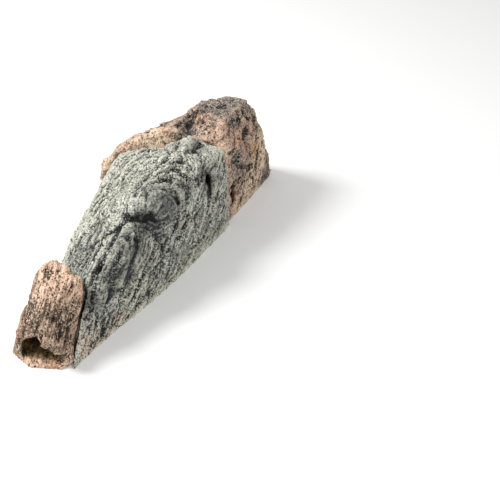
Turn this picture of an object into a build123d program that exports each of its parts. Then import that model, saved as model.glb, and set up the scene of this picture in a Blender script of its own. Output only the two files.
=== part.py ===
"""Hollow resin rock with caves, for the floor of an aquarium.

Three stones are cast as thin shells, open below, and bonded end to end: a long grey gneiss ridge,
a tall pink granite block across its right end, and a small pink boulder leaning on its left tip.
Resin putty fills the two seams. Strips of sand-filled resin, cast inside along the feet of the
walls, hold the hollow rock down in water. Fish get in by the boulder's mouth, the cleft behind its
crest, a slit and a hole in the ridge, and a window in the block.

X runs from the boulder to the block, Y from the front to the back and Z up. The origin is at the
middle of the footprint, on the floor. Sizes are in millimetres, and plan places are taken from the
boulder's tip and the foot of the front.
"""

import os
from math import cos, hypot, radians, sin
from typing import NamedTuple

from build123d import *

# Castings
wall = 8.0  # resin thickness of all three shells
seam_gap = 3.0  # thickness of a putty joint
seam_groove = 4.0  # how far the putty stays below the stones' faces

# Gneiss ridge
gneiss_length = 345.0  # from its tip to its joint with the block
gneiss_depth = 206.0
gneiss_height = 121.0
crest_bevel = 10.0  # from the crest's back edge to the top of the back slope

# Granite block
block_length = 150.0
block_depth = 218.0
block_height = 132.0

# Pink boulder
boulder_length = 130.0
boulder_depth = 108.0
boulder_height = 79.0
boulder_lead = 22.0  # how far it stands out past the tip of the gneiss
boulder_setback = 30.0  # from the front of the rock to the front of the boulder
joint_front_angle = 18.0  # the joint's two faces in plan, from the X axis
joint_back_angle = 57.0

# Mouth of the boulder
mouth_width = 50.0
mouth_sill = 6.0
mouth_top = 37.0
mouth_floor = 4.0  # thickness of the floor behind the sill
mouth_floor_length = 62.0  # how far in it reaches from the boulder's tip
mouth_bearing = 197.0  # the way it faces, from the X axis

# Cleft behind the boulder's crest, along the joint
cleft_start = 2.0  # past the joint's knee
cleft_length = 92.0
cleft_width = 12.0
cleft_floor = 37.0
throat_radius = 8.0

# Holes in the ridge
slit_length = 30.0
slit_width = 8.0
slit_angle = -45.0
slit_reach = 48.0  # how far below the crest it is cut
pit_length = 34.0
pit_width = 14.0
pit_reach = 46.0  # how far in from the front of the rock it is cut

# Window in the block's front wall, beside the gneiss
window_width = 16.0
window_sill = 16.0
window_top = 54.0

# Passage between the gneiss's chamber and the block's
passage_width = 78.0
passage_height = 66.0
passage_setback = 75.0  # from the front of the rock to its middle

# Ballast
ballast_width = 20.0
ballast_height = 16.0
ballast_lift = 2.0  # above the floor, so that the rock stands on its shells alone

overall_length = boulder_lead + gneiss_length + seam_gap + block_length
seam_x = boulder_lead + gneiss_length  # the gneiss ends here
block_x = seam_x + seam_gap  # and the block starts here
overrun = 1.0  # how far a cutter runs out past the faces that it opens
knee = (0.665 * boulder_length, boulder_setback + 0.205 * boulder_depth)
slit_place = (boulder_lead + 0.65 * gneiss_length, 0.18 * gneiss_depth)
pit_place = (boulder_lead + 0.865 * gneiss_length, 0.0, 0.65 * gneiss_height)
mouth_place = (0.34 * boulder_length, boulder_setback + 0.39 * boulder_depth)


class Section(NamedTuple):
    """One upright cut across the gneiss, in shares of its length, depth and height."""

    along: float
    front: float
    crest_front: float
    crest_back: float
    back: float
    crest: float


GNEISS_SECTIONS = (
    Section(0.00, 0.14, 0.20, 0.30, 0.49, 0.13),
    Section(0.13, 0.124, 0.19, 0.31, 0.55, 0.39),
    Section(0.25, 0.100, 0.18, 0.33, 0.60, 0.59),
    Section(0.38, 0.063, 0.17, 0.35, 0.67, 0.77),
    Section(0.53, 0.037, 0.19, 0.38, 0.75, 0.94),
    Section(0.66, 0.019, 0.19, 0.42, 0.82, 0.94),
    Section(0.81, 0.010, 0.15, 0.44, 0.89, 1.00),
    Section(0.94, 0.000, 0.11, 0.43, 0.97, 0.99),
    Section(1.00, 0.010, 0.10, 0.42, 0.985, 0.95),
)

# Level cuts through the block and the boulder, from the floor up: a share of the height, then the corners in
# shares of the length and depth, anticlockwise from the front left.
BLOCK_LEVELS = (
    (0.00, ((0, 0.025), (0.975, 0.02), (1, 0.2), (0.92, 0.37), (0.67, 0.65), (0.41, 0.88), (0.15, 1),
            (0, 0.975))),
    (0.27, ((0, 0.04), (0.98, 0.045), (0.99, 0.2), (0.9, 0.36), (0.64, 0.62), (0.38, 0.84), (0.15, 0.945),
            (0, 0.92))),
    (0.57, ((0, 0.06), (0.86, 0.075), (0.89, 0.2), (0.82, 0.34), (0.6, 0.55), (0.38, 0.7), (0.15, 0.775),
            (0, 0.77))),
    (0.87, ((0, 0.1), (0.76, 0.12), (0.8, 0.22), (0.76, 0.31), (0.56, 0.42), (0.36, 0.48), (0.15, 0.5),
            (0, 0.48))),
    (1.00, ((0.24, 0.19), (0.68, 0.165), (0.73, 0.23), (0.71, 0.3), (0.57, 0.385), (0.42, 0.41), (0.3, 0.4),
            (0.22, 0.33))),
)
BOULDER_LEVELS = (
    (0.00, ((0.34, 0), (0.82, 0.28), (1, 0.94), (0.72, 1), (0.4, 0.79), (0.08, 0.67), (0, 0.39),
            (0.11, 0.09))),
    (0.41, ((0.385, 0.055), (0.8, 0.26), (0.94, 0.89), (0.72, 0.94), (0.42, 0.74), (0.11, 0.62), (0.05, 0.39),
            (0.18, 0.15))),
    (0.70, ((0.46, 0.12), (0.79, 0.31), (0.86, 0.79), (0.69, 0.84), (0.45, 0.68), (0.22, 0.56), (0.17, 0.41),
            (0.29, 0.2))),
    (1.00, ((0.59, 0.24), (0.68, 0.39), (0.71, 0.63), (0.62, 0.69), (0.49, 0.62), (0.39, 0.56), (0.36, 0.44),
            (0.42, 0.32))),
)


def in_frame(x, y, z=0.0):
    """A plan place, measured from the boulder's tip and the front foot, in the part's own frame."""
    return (x - overall_length / 2, y - block_depth / 2, z)


def inset(corners, gap, closed=True):
    """Corners of an outline moved to its left by the gap, square to its sides."""
    moved = []
    count = len(corners)
    for i, (x, y) in enumerate(corners):
        before = corners[i - 1] if closed or i > 0 else None
        after = corners[(i + 1) % count] if closed or i < count - 1 else None
        normals = []
        for start, end in ((before, (x, y)), ((x, y), after)):
            if start and end:
                run = hypot(end[0] - start[0], end[1] - start[1])
                normals.append(((start[1] - end[1]) / run, (end[0] - start[0]) / run))
        (ax, ay), (bx, by) = normals[0], normals[-1]
        share = gap / (1 + ax * bx + ay * by)
        moved.append((x + share * (ax + bx), y + share * (ay + by)))
    return moved


def section_plane(x):
    """An upright plane across the rock, with its own axes along Y and Z."""
    return Plane(origin=in_frame(x, 0), x_dir=(0, 1, 0), z_dir=(1, 0, 0))


def station(section):
    """Where a section of the gneiss stands along the rock."""
    return boulder_lead + section.along * gneiss_length


def gneiss_profile(section, gap=0.0):
    """A section's outline in Y and Z, from the back foot over the crest to the front foot."""
    front = section.front * gneiss_depth
    crest_front = section.crest_front * gneiss_depth
    crest_back = section.crest_back * gneiss_depth
    slope = crest_back + crest_bevel
    fall = section.back * gneiss_depth - slope
    face = crest_front - front
    crest = section.crest * gneiss_height
    corners = [
        (slope + fall, 0),
        (slope + 0.83 * fall, 0.31 * crest),
        (slope + 0.65 * fall, 0.54 * crest),
        (slope + 0.32 * fall, 0.70 * crest),
        (slope, 0.81 * crest),
        (crest_back, 0.91 * crest),
        ((crest_front + crest_back) / 2, crest),
        (crest_front, 0.95 * crest),
        (front + 0.55 * face, 0.75 * crest),
        (front + 0.22 * face, 0.33 * crest),
        (front, 0),
    ]
    if gap:
        corners = inset(corners, gap, closed=False)
        for foot, above in ((0, 1), (-1, -2)):
            corners[foot] = run_down(corners[above], corners[foot], -overrun)
    return corners


def run_down(above, foot, floor):
    """The point where the side from above through the foot meets the floor."""
    share = (above[1] - floor) / (above[1] - foot[1])
    return (above[0] + share * (foot[0] - above[0]), floor)


def gneiss_form(sections, gap=0.0):
    """The gneiss as a solid stone, moved inwards by the gap all round."""
    with BuildPart() as form:
        for section in sections:
            with BuildSketch(section_plane(station(section))):
                with BuildLine():
                    Polyline(*gneiss_profile(section, gap), close=True)
                make_face()
        loft(ruled=True)
    return form.part


def level_corners(corners, size, start, gap=0.0):
    """The corners of a level cut at their real places, moved inwards by the gap."""
    placed = [(start[0] + u * size[0], start[1] + v * size[1]) for u, v in corners]
    return inset(placed, gap) if gap else placed


def stone_form(levels, size, start, gap=0.0):
    """The block or the boulder as a solid stone, moved inwards by the gap all round."""
    with BuildPart() as form:
        for share, corners in levels:
            floor = -overrun if gap else 0.0
            height = share * (size[2] - gap) if share else floor
            with BuildSketch(Plane.XY.offset(height)):
                with BuildLine():
                    Polyline(*[in_frame(*corner)[:2] for corner in level_corners(corners, size, start, gap)],
                             close=True)
                make_face()
        loft(ruled=True)
    return form.part


def block_form(gap=0.0):
    return stone_form(BLOCK_LEVELS, (block_length, block_depth, block_height), (block_x, 0.0), gap)


def boulder_form(gap=0.0):
    size = (boulder_length, boulder_depth, boulder_height)
    return stone_form(BOULDER_LEVELS, size, (0.0, boulder_setback), gap)


def joint_line(shift=0.0):
    """The joint of boulder and gneiss in plan, moved towards the boulder, with both ends run out."""
    reach = boulder_length + boulder_depth
    front_way = radians(joint_front_angle)
    back_way = radians(joint_back_angle)
    front = (knee[0] - reach * cos(front_way), knee[1] - reach * sin(front_way))
    back = (knee[0] + reach * cos(back_way), knee[1] + reach * sin(back_way))
    return inset([front, knee, back], shift, closed=False)


def prism(corners, floor, top):
    """An upright prism over a plan outline."""
    with BuildPart() as made:
        with BuildSketch(Plane.XY.offset(floor)):
            with BuildLine():
                Polyline(*[in_frame(*corner)[:2] for corner in corners], close=True)
            make_face()
        extrude(amount=top - floor)
    return made.part


def beside_joint(shift, on_boulder):
    """Everything on one side of the joint, which is moved towards the boulder by the shift."""
    line = joint_line(shift)
    if on_boulder:
        corner = (line[0][0], line[-1][1])
    else:
        corner = (line[-1][0], line[0][1])
    top = max(gneiss_height, boulder_height) + overrun
    return prism([*line, corner], -2 * overrun, top)


os.makedirs("parts", exist_ok=True)

# Gneiss shell: closed along the joint with the boulder, open towards the block and below
with BuildPart() as gneiss_chamber:
    add(gneiss_form(GNEISS_SECTIONS[1:], wall))
    add(beside_joint(-wall, on_boulder=True), mode=Mode.SUBTRACT)

with BuildPart() as gneiss:
    add(gneiss_form(GNEISS_SECTIONS))
    add(beside_joint(0.0, on_boulder=True), mode=Mode.SUBTRACT)
    add(gneiss_chamber.part, mode=Mode.SUBTRACT)
    with BuildSketch(Plane.XY.offset(gneiss_height - slit_reach)):
        with Locations(in_frame(*slit_place)[:2]):
            SlotOverall(slit_length, slit_width, rotation=slit_angle)
    extrude(amount=slit_reach + overrun, mode=Mode.SUBTRACT)
    with BuildSketch(Plane(origin=in_frame(*pit_place), x_dir=(1, 0, 0), z_dir=(0, 1, 0))):
        SlotOverall(pit_length, pit_width, rotation=90)
    extrude(amount=pit_reach, mode=Mode.SUBTRACT)
gneiss.part.label = "gneiss_shell"
export_step(gneiss.part, "parts/gneiss_shell.step")

# Block shell: a wall all round, with the passage to the gneiss's chamber and a window in its front
with BuildPart() as block:
    add(block_form())
    add(block_form(wall), mode=Mode.SUBTRACT)
    with BuildSketch(section_plane(block_x - overrun)):
        with BuildLine():
            left = passage_setback - passage_width / 2
            right = passage_setback + passage_width / 2
            spring = passage_height / 2
            sides = Polyline((left, spring), (left, -overrun), (right, -overrun), (right, spring))
            ThreePointArc(sides @ 1, (passage_setback, passage_height), sides @ 0)
        make_face()
    extrude(amount=wall + 2 * overrun, mode=Mode.SUBTRACT)
    with Locations(in_frame(block_x + wall, -overrun, window_sill)):
        Box(window_width, block_depth / 4, window_top - window_sill, align=Align.MIN, mode=Mode.SUBTRACT)
block.part.label = "block_shell"
export_step(block.part, "parts/block_shell.step")

# Boulder shell: closed along the joint, with the mouth and its floor in the left end and the cleft behind
with BuildPart() as boulder_chamber:
    add(boulder_form(wall))
    add(beside_joint(seam_gap + wall, on_boulder=False), mode=Mode.SUBTRACT)

mouth_way = radians(mouth_bearing)
mouth_plane = Plane(
    origin=in_frame(*mouth_place),
    x_dir=(-sin(mouth_way), cos(mouth_way), 0),
    z_dir=(cos(mouth_way), sin(mouth_way), 0),
)
back_way = radians(joint_back_angle)
cleft_plane = Plane(
    origin=in_frame(*knee, cleft_floor),
    x_dir=(cos(back_way), sin(back_way), 0),
    z_dir=(0, 0, 1),
)

with BuildPart() as cleft:
    with BuildSketch(cleft_plane):
        with Locations((cleft_start, 0)):
            Rectangle(cleft_length, seam_gap + cleft_width, align=Align.MIN)
        with Locations((cleft_start + throat_radius, seam_gap + throat_radius)):
            Circle(throat_radius)
    extrude(amount=boulder_height)

with BuildPart() as mouth_ground:  # the boulder's own floor just inside its mouth
    add(boulder_form(wall - overrun))
    add(beside_joint(seam_gap + wall - overrun, on_boulder=False), mode=Mode.SUBTRACT)
    with Locations(in_frame(0.0, 0.0, mouth_sill - mouth_floor)):
        Box(mouth_floor_length, block_depth, mouth_floor, align=Align.MIN, mode=Mode.INTERSECT)

with BuildPart() as boulder:
    add(boulder_form())
    add(beside_joint(seam_gap, on_boulder=False), mode=Mode.SUBTRACT)
    add(boulder_chamber.part, mode=Mode.SUBTRACT)
    with BuildSketch(mouth_plane):
        with BuildLine():
            spring = (mouth_sill + mouth_top) / 2
            half = mouth_width / 2
            sides = Polyline((-half, spring), (-half, mouth_sill), (half, mouth_sill), (half, spring))
            ThreePointArc(sides @ 1, (0, mouth_top), sides @ 0)
        make_face()
    extrude(amount=boulder_length, mode=Mode.SUBTRACT)
    add(cleft.part, mode=Mode.SUBTRACT)
    add(mouth_ground.part)
boulder.part.label = "boulder_shell"
export_step(boulder.part, "parts/boulder_shell.step")

# Putty between gneiss and block: a bead round the gneiss's open end
with BuildPart() as block_putty:
    with BuildSketch(section_plane(seam_x)):
        for gap, mode in ((seam_groove, Mode.ADD), (wall, Mode.SUBTRACT)):
            with BuildLine():
                Polyline(*gneiss_profile(GNEISS_SECTIONS[-1], gap), close=True)
            make_face(mode=mode)
    extrude(amount=seam_gap)
    split(bisect_by=Plane.XY.offset(seam_groove), keep=Keep.TOP)
block_putty.part.label = "block_seam_putty"
export_step(block_putty.part, "parts/block_seam_putty.step")

# Putty between gneiss and boulder: a bent slab, kept below both stones' faces and out of the cleft
with BuildPart() as boulder_putty:
    add(prism([*joint_line(), *reversed(joint_line(seam_gap))], seam_groove, boulder_height))
    add(gneiss_form(GNEISS_SECTIONS, seam_groove), mode=Mode.INTERSECT)
    add(boulder_form(seam_groove), mode=Mode.INTERSECT)
    add(cleft.part, mode=Mode.SUBTRACT)
boulder_putty.part.label = "boulder_seam_putty"
export_step(boulder_putty.part, "parts/boulder_seam_putty.step")

# Ballast: strips that fit the chambers along the feet of their walls
ballasted = GNEISS_SECTIONS[3:8]
front_foot = [(station(section), section.front * gneiss_depth) for section in ballasted]
back_foot = [(station(section), section.back * gneiss_depth) for section in ballasted]
block_foot = level_corners(BLOCK_LEVELS[0][1], (block_length, block_depth), (block_x, 0.0))
foot_width = wall + ballast_width
block_inside = inset(block_foot, foot_width)

STRIPS = {
    "front_ballast": (gneiss_chamber.part, front_foot + inset(front_foot, foot_width, closed=False)[::-1]),
    "back_ballast": (gneiss_chamber.part, inset(back_foot, -foot_width, closed=False) + back_foot[::-1]),
    "block_ballast": (block_form(wall), block_foot[3:7] + block_inside[3:7][::-1]),
}
for name, (chamber, outline) in STRIPS.items():
    with BuildPart() as strip:
        add(chamber)
        add(prism(outline, ballast_lift, ballast_lift + ballast_height), mode=Mode.INTERSECT)
    strip.part.label = name
    export_step(strip.part, f"parts/{name}.step")
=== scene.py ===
import math

import bmesh
import bpy
import numpy as np
from mathutils import Matrix, Vector
from mathutils.bvhtree import BVHTree


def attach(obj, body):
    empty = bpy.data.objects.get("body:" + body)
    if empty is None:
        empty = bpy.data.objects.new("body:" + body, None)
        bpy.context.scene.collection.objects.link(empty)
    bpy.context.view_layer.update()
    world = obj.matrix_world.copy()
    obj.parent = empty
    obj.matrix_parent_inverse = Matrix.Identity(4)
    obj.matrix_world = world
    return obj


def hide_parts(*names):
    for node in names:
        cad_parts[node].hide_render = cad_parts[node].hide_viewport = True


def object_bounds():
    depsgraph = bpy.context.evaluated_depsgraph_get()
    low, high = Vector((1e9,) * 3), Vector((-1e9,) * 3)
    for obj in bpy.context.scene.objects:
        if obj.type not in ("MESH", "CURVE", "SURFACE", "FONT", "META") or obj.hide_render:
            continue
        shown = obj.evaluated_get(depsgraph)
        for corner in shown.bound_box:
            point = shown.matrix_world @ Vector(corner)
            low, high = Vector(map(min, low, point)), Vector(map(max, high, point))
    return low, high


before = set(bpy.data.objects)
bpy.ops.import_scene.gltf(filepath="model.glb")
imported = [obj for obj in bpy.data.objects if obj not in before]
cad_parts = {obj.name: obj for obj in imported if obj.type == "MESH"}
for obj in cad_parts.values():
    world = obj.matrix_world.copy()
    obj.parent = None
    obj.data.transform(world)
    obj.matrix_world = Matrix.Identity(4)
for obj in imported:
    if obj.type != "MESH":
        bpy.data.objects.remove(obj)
cad_low, cad_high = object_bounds()


# ---------------------------------------------------------------- camera
# A camera on a tripod: it stands to the left and in front of the ornament, above the boulder, and
# looks along the ridge. A 64 mm lens, tilted a few degrees to the right.

mm = 0.001
camera_data = bpy.data.cameras.new("tripod camera")
camera_data.lens = 64.0
camera_data.sensor_width = 36.0
camera = bpy.data.objects.new("tripod camera", camera_data)
bpy.context.scene.collection.objects.link(camera)
bpy.context.scene.camera = camera
eye = Vector((-832.8, -484.9, 684.4)) * mm
aim = Vector((57.7, -158.0, 5.0)) * mm
camera_tilt = math.radians(6.39)
look = (aim - eye).normalized()
level = look.cross(Vector((0.0, 0.0, 1.0))).normalized()
upright = level.cross(look)
side = math.cos(camera_tilt) * level + math.sin(camera_tilt) * upright
rise = math.cos(camera_tilt) * upright - math.sin(camera_tilt) * level
camera.matrix_world = Matrix.Translation(eye) @ Matrix((side, rise, -look)).transposed().to_4x4()
bpy.context.scene.view_settings.view_transform = "Standard"


# ---------------------------------------------------------------- gneiss ridge
# The long middle stone: a hollow polyurethane resin casting of layered gneiss, cast in a mould taken
# from real rock, then washed dark in its hollows and brushed pale on its high places by hand.
# Its layers run up the ridge in front and level along the pale back slope.


def fade(value, start, width):
    """A share that is 0 up to the start and 1 a width past it; a negative width runs down."""
    return np.clip((value - start) / width, 0.0, 1.0)


class StoneSkin:
    """One stone's skin while it is carved: even cells over a CAD node, in millimetres."""

    seam_margin = 2.6  # this near a neighbour a stone stays as it was cast
    seam_fade = 7.0  # and its relief comes in over this much more
    rim_fade = 5.0  # carving comes in over this height above the floor
    sky_probe = 3.0  # how far out a point looks for open sky
    furthest = 60.0  # a neighbour further off does not count
    inner_relief = 0.22  # share of the relief that the inner walls take

    def __init__(self, node, name, cell, neighbours, knobs=()):
        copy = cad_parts[node].data.copy()
        welded = bmesh.new()
        welded.from_mesh(copy)
        bmesh.ops.remove_doubles(welded, verts=welded.verts, dist=1e-5)
        self.wall = BVHTree.FromBMesh(welded)
        for centre, radii in knobs:
            place = Matrix.Translation(Vector(centre) * mm) @ Matrix.Diagonal((*(Vector(radii) * mm), 1.0))
            bmesh.ops.create_icosphere(welded, subdivisions=3, radius=1.0, matrix=place)
        welded.to_mesh(copy)
        welded.free()
        self.piece = bpy.data.objects.new(name, copy)
        bpy.context.scene.collection.objects.link(self.piece)
        recast = self.piece.modifiers.new("even cells", "REMESH")
        recast.mode = "VOXEL"
        recast.voxel_size = cell * mm
        self.bake_modifiers()
        self.read()
        self.find_faces(neighbours)

    def bake_modifiers(self):
        """Turns the piece's modifiers into plain mesh and removes them."""
        bpy.context.view_layer.update()
        seen = self.piece.evaluated_get(bpy.context.evaluated_depsgraph_get())
        plain = bpy.data.meshes.new_from_object(seen)
        self.piece.modifiers.clear()
        self.piece.data = plain

    def read(self):
        mesh = self.piece.data
        count = len(mesh.vertices)
        flat = np.empty(count * 3, np.float32)
        mesh.vertices.foreach_get("co", flat)
        self.points = flat.reshape(-1, 3).astype(float) / mm
        ends = np.empty(len(mesh.edges) * 2, np.int32)
        mesh.edges.foreach_get("vertices", ends)
        self.first, self.second = ends.reshape(-1, 2).T
        self.ways = np.bincount(ends, minlength=count).astype(float)
        self.height = np.zeros(count)
        self.washed = np.zeros(count)
        self.brushed = np.zeros(count)

    def write(self):
        self.piece.data.vertices.foreach_set("co", (self.points * mm).astype(np.float32).ravel())
        self.piece.data.update()

    def even(self, value, rounds):
        """Averages a value over the neighbouring points, round after round."""
        table = value.reshape(len(self.ways), -1).copy()
        for _ in range(rounds):
            for column in table.T:
                near = np.bincount(self.first, column[self.second], len(column))
                near += np.bincount(self.second, column[self.first], len(column))
                column += near / self.ways - column
        return table.reshape(value.shape)

    def directions(self, rounds):
        """Outward directions, averaged so that carving does not fold the skin."""
        self.write()
        flat = np.empty(len(self.ways) * 3, np.float32)
        self.piece.data.vertex_normals.foreach_get("vector", flat)
        away = self.even(flat.reshape(-1, 3).astype(float), rounds)
        return away / np.maximum(np.linalg.norm(away, axis=1), 1e-6)[:, None]

    def find_faces(self, neighbours):
        """Tells the weathered outside from the inner walls, the base rim and the seam faces."""
        away = self.directions(2)
        straight_up = Vector((0.0, 0.0, 1.0))
        open_sky = np.zeros(len(self.points))
        for i, (point, out) in enumerate(zip(self.points, away)):
            start = Vector((point + self.sky_probe * out) * mm)
            open_sky[i] = self.wall.ray_cast(start, straight_up)[0] is None
        self.outside = np.clip(1.6 * self.even(open_sky, 4) - 0.3, 0.0, 1.0)
        gap = np.full(len(self.points), self.furthest)
        for other in neighbours:
            wall = BVHTree.FromPolygons(
                [v.co.copy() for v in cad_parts[other].data.vertices],
                [tuple(p.vertices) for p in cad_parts[other].data.polygons],
            )
            for i, point in enumerate(self.points):
                distance = wall.find_nearest(Vector(point * mm), self.furthest * mm)[3]
                if distance is not None:
                    gap[i] = min(gap[i], distance / mm)
        self.clear = fade(gap, self.seam_margin, self.seam_fade)
        self.off_floor = fade(self.points[:, 2], 0.0, self.rim_fade)

    def relax(self, rounds):
        """Rounds off the facets of the outside and leaves the rim and the seam edges."""
        free = (self.outside * self.clear * self.off_floor)[:, None]
        for _ in range(rounds):
            self.points += 0.6 * free * (self.even(self.points, 1) - self.points)

    def away_from(self, path):
        """Distance of every point from a line through the given places."""
        path = np.array(path, float)
        nearest = np.full(len(self.points), 1e9)
        taper = np.zeros(len(self.points))
        for k, (start, end) in enumerate(zip(path[:-1], path[1:])):
            run = end - start
            share = np.clip((self.points - start) @ run / (run @ run), 0.0, 1.0)
            distance = np.linalg.norm(self.points - start - share[:, None] * run, axis=1)
            closer = distance < nearest
            nearest[closer] = distance[closer]
            taper[closer] = (k + share[closer]) / (len(path) - 1)
        return nearest, np.sqrt(np.sin(np.pi * np.clip(taper, 0.04, 0.96)))

    def groove(self, path, width, depth):
        """Carves a tapering cut along a line; a negative depth raises a rib."""
        distance, taper = self.away_from(path)
        line = taper * np.exp(-((distance / width) ** 2))
        self.height -= depth * line
        if depth > 0.0:
            self.washed = np.maximum(self.washed, line ** 1.5 * min(1.0, depth / 4.0))
        else:
            self.brushed = np.maximum(self.brushed, line * min(1.0, -depth / 2.5))

    def swell(self, centre, radii, height):
        """Raises a rounded lump, or sinks a hollow with a negative height."""
        reach = (((self.points - np.array(centre, float)) / np.array(radii, float)) ** 2).sum(1)
        self.height += height * np.exp(-reach)

    def patch(self, places):
        """A soft mask from 0 to 1 round several places, each a centre and a radius."""
        mask = np.zeros(len(self.points))
        for centre, radius in places:
            reach = np.linalg.norm(self.points - np.array(centre, float), axis=1) / radius
            mask = np.maximum(mask, np.clip(1.5 - reach, 0.0, 1.0))
        return mask

    def carve(self):
        """Moves the points by the heights drawn so far; the base rim stays flat on the floor."""
        step = self.directions(3) * (self.height * self.outside * self.clear)[:, None]
        step[:, 2] *= self.off_floor
        self.points += step
        self.height[:] = 0.0
        self.points[:, 2] = np.maximum(self.points[:, 2], 0.0)

    def store(self, name, value):
        """Keeps a value for every point with the mesh."""
        kind, key = ("FLOAT", "value") if value.ndim == 1 else ("FLOAT_VECTOR", "vector")
        kept = self.piece.data.attributes.get(name)
        if kept is None:
            kept = self.piece.data.attributes.new(name, kind, "POINT")
        kept.data.foreach_set(key, value.astype(np.float32).ravel())

    def weather(self, tree, finish, **sizes):
        """Runs the weathering tree over the skin and keeps the result as plain mesh."""
        away = self.directions(2)
        relief = self.outside * (0.4 + 0.6 * self.clear)
        relief += self.inner_relief * (1.0 - self.outside) * self.clear
        relief *= np.maximum(fade(self.points[:, 2], 0.0, 9.0), 0.25)
        away[:, 2] *= self.off_floor
        self.store("outward", away)
        self.store("relief", relief)
        weathering = self.piece.modifiers.new("weathering", "NODES")
        weathering.node_group = tree
        given = {**sizes, "Finish": finish}
        for socket in tree.interface.items_tree:
            if socket.item_type == "SOCKET" and socket.in_out == "INPUT" and socket.name in given:
                weathering[socket.identifier] = given[socket.name]
        self.bake_modifiers()
        flat = np.empty(len(self.ways) * 3, np.float32)
        self.piece.data.vertices.foreach_get("co", flat)
        self.points = flat.reshape(-1, 3).astype(float) / mm
        # Half of what stands above the cast form's highest place is worn off again.
        rise, crown = self.points[:, 2], cad_high[2] / mm
        too_high = rise > crown
        rise[too_high] -= 0.5 * (rise[too_high] - crown)
        self.write()

    def stain(self):
        """Stores where the dark wash gathers and where the brush leaves pale paint."""
        out = self.directions(1)
        total = np.zeros(len(self.points))
        surface = self.points
        for rounds, usual_height in ((3, 0.34), (14, 0.7), (50, 1.7)):
            smoother = self.even(surface, rounds)
            total += ((surface - smoother) * out).sum(1) / usual_height
            surface = smoother
        self.store("hollow", np.clip(-0.5 * total - 0.25 + 1.1 * self.washed, 0.0, 1.3))
        self.store("proud", np.clip(0.5 * total - 0.1 + 0.8 * self.brushed, 0.0, 1.2))
        self.store("inner", 1.0 - self.outside)

    def finish(self, body, slot, replaced):
        self.piece.data.polygons.foreach_set("use_smooth", np.ones(len(self.piece.data.polygons), bool))
        for spare in ("outward", "relief", "bedded"):
            self.piece.data.attributes.remove(self.piece.data.attributes[spare])
        self.piece.data.update()
        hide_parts(replaced)
        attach(self.piece, body)


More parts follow.
